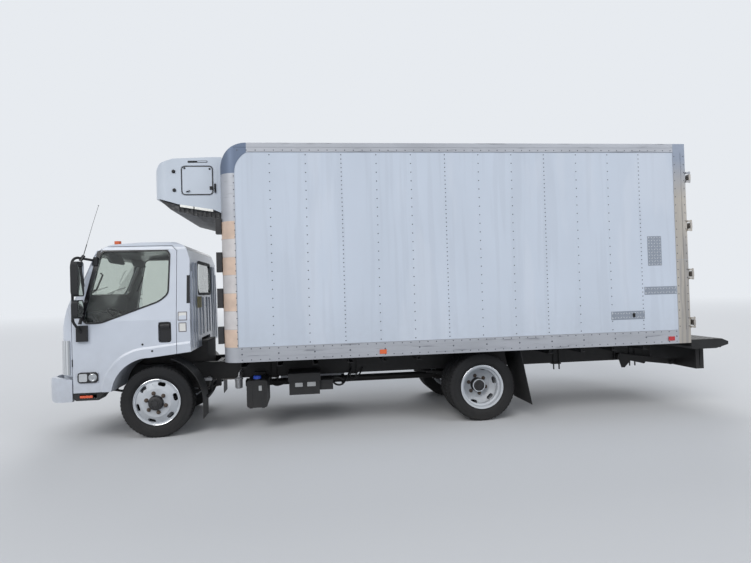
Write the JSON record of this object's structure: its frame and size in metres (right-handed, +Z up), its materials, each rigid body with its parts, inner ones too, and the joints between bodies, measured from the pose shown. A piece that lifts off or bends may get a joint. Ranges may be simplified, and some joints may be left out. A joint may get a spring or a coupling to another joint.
{
  "type": "refrigerated box truck",
  "caption": "Cab-over refrigerated truck with insulated box body, nose cooling unit, swing rear doors and tuck-under tail lift.",
  "frame": {"origin": "middle of the truck's footprint on the ground", "axes": "+X towards the rear, -Y the truck's left side, +Z up"},
  "size_m": [8.089, 2.482, 3.317],
  "materials": {
    "frame_black": "satin",
    "engine_iron": "matte",
    "cab_white": "gloss",
    "window_glass": "gloss",
    "black_plastic": "matte",
    "lamp_clear": "gloss",
    "lamp_amber": "gloss",
    "seat_fabric": "matte",
    "wheel_rubber": "matte",
    "wheel_white": "satin",
    "body_white": "satin",
    "body_aluminium": "satin",
    "stainless": "brushed",
    "unit_white": "satin",
    "wheel_black": "matte"
  },
  "bodies": {
    "truck": {"chassis_frame": "frame_black", "front_axle": "frame_black", "rear_axle": "frame_black", "leaf_springs": "frame_black", "engine": "engine_iron", "cab_shell": "cab_white", "cab_glass": "window_glass", "bumper": "cab_white", "front_grille": "black_plastic", "headlamps": "lamp_clear", "dashboard": "black_plastic", "seats": "seat_fabric", "marker_lamps": "lamp_amber", "mudguards": "black_plastic", "def_tank": "black_plastic", "battery_box": "black_plastic", "fuel_tank": "body_aluminium", "exhaust": "stainless", "box_wall_left": "body_white", "box_wall_right": "body_white", "box_roof": "body_white", "box_front_wall": "body_white", "box_rails": "body_aluminium", "box_rear_frame": "stainless", "box_floor": "body_aluminium", "body_sills": "frame_black", "unit_housing": "unit_white", "unit_shroud": "black_plastic", "evaporator": "unit_white", "climbing_steps": "black_plastic", "bed_extension": "frame_black", "cab_steps": "black_plastic"},
    "steer_left": {"knuckle_left": "frame_black"},
    "wheel_front_left": {"tyre_front_left": "wheel_rubber", "rim_front_left": "wheel_white"},
    "wheels_rear_left": {"tyres_rear_left": "wheel_rubber", "rims_rear_left": "wheel_white"},
    "cab_door_body_left": {"cab_door_left": "cab_white", "door_glass_left": "window_glass", "mirror_left": "black_plastic"},
    "cargo_door_body_left": {"cargo_door_left": "body_white", "door_rods_left": "stainless"},
    "hatch_body_left": {"unit_hatch_left": "unit_white"},
    "steer_right": {"knuckle_right": "frame_black"},
    "wheel_front_right": {"tyre_front_right": "wheel_rubber", "rim_front_right": "wheel_white"},
    "wheels_rear_right": {"tyres_rear_right": "wheel_rubber", "rims_rear_right": "wheel_white"},
    "cab_door_body_right": {"cab_door_right": "cab_white", "door_glass_right": "window_glass", "mirror_right": "black_plastic"},
    "cargo_door_body_right": {"cargo_door_right": "body_white", "door_rods_right": "stainless"},
    "hatch_body_right": {"unit_hatch_right": "unit_white"},
    "tie_rod_body": {"tie_rod": "frame_black"},
    "steering_wheel_body": {"steering_wheel": "wheel_black"},
    "lift_arms_body": {"lift_arms": "frame_black"},
    "lift_platform_body": {"lift_platform": "frame_black"}
  },
  "joints": [
    {"name": "steering_left", "type": "hinge", "parent": "truck", "child": "steer_left", "pos_m": [-2.8955, -0.7, 0.405], "axis": [0, 0, 1], "range_deg": [-35, 35]},
    {"name": "roll_front_left", "type": "hinge", "parent": "steer_left", "child": "wheel_front_left", "pos_m": [-2.8955, -0.84, 0.405], "axis": [0, 1, 0], "continuous": true},
    {"name": "roll_rear_left", "type": "hinge", "parent": "truck", "child": "wheels_rear_left", "pos_m": [0.9145, -0.825, 0.405], "axis": [0, 1, 0], "continuous": true},
    {"name": "cab_door_hinge_left", "type": "hinge", "parent": "truck", "child": "cab_door_body_left", "pos_m": [-3.7715, -1.025, 1.3], "axis": [0, 0, -1], "range_deg": [0, 70]},
    {"name": "cargo_door_hinge_left", "type": "hinge", "parent": "truck", "child": "cargo_door_body_left", "pos_m": [3.5945, -1.227, 2], "axis": [0, 0, -1], "range_deg": [0, 270]},
    {"name": "hatch_hinge_left", "type": "hinge", "parent": "truck", "child": "hatch_body_left", "pos_m": [-2.2065, -0.954, 2.945], "axis": [0, 0, 1], "range_deg": [0, 90]},
    {"name": "steering_right", "type": "hinge", "parent": "truck", "child": "steer_right", "pos_m": [-2.8955, 0.7, 0.405], "axis": [0, 0, 1], "range_deg": [-35, 35]},
    {"name": "roll_front_right", "type": "hinge", "parent": "steer_right", "child": "wheel_front_right", "pos_m": [-2.8955, 0.84, 0.405], "axis": [0, 1, 0], "continuous": true},
    {"name": "roll_rear_right", "type": "hinge", "parent": "truck", "child": "wheels_rear_right", "pos_m": [0.9145, 0.825, 0.405], "axis": [0, 1, 0], "continuous": true},
    {"name": "cab_door_hinge_right", "type": "hinge", "parent": "truck", "child": "cab_door_body_right", "pos_m": [-3.7715, 1.025, 1.3], "axis": [0, 0, 1], "range_deg": [0, 70]},
    {"name": "cargo_door_hinge_right", "type": "hinge", "parent": "truck", "child": "cargo_door_body_right", "pos_m": [3.5945, 1.227, 2], "axis": [0, 0, 1], "range_deg": [0, 270]},
    {"name": "hatch_hinge_right", "type": "hinge", "parent": "truck", "child": "hatch_body_right", "pos_m": [-2.2065, 0.954, 2.945], "axis": [0, 0, -1], "range_deg": [0, 90]},
    {"name": "tie_rod_ball", "type": "hinge", "parent": "steer_left", "child": "tie_rod_body", "pos_m": [-2.7155, -0.7, 0.275], "axis": [0, 0, 1], "range_deg": [-35, 35]},
    {"name": "steering_wheel_turn", "type": "hinge", "parent": "truck", "child": "steering_wheel_body", "pos_m": [-3.3355, -0.56, 1.36], "axis": [0.5736, 0, 0.8192], "range_deg": [-560, 560]},
    {"name": "lift_arms_hinge", "type": "hinge", "parent": "truck", "child": "lift_arms_body", "pos_m": [3.0245, 0, 0.62], "axis": [0, 1, 0], "range_deg": [0, 38]},
    {"name": "lift_platform_hinge", "type": "hinge", "parent": "lift_arms_body", "child": "lift_platform_body", "pos_m": [3.7485, 0, 0.52], "axis": [0, 1, 0], "range_deg": [-38, 0]}
  ],
  "couplings": [
    {"joint": "steering_right", "follows": "steering_left", "ratio": 1},
    {"joint": "tie_rod_ball", "follows": "steering_left", "ratio": -1},
    {"joint": "steering_wheel_turn", "follows": "steering_left", "ratio": 16},
    {"joint": "lift_platform_hinge", "follows": "lift_arms_hinge", "ratio": -1}
  ]
}
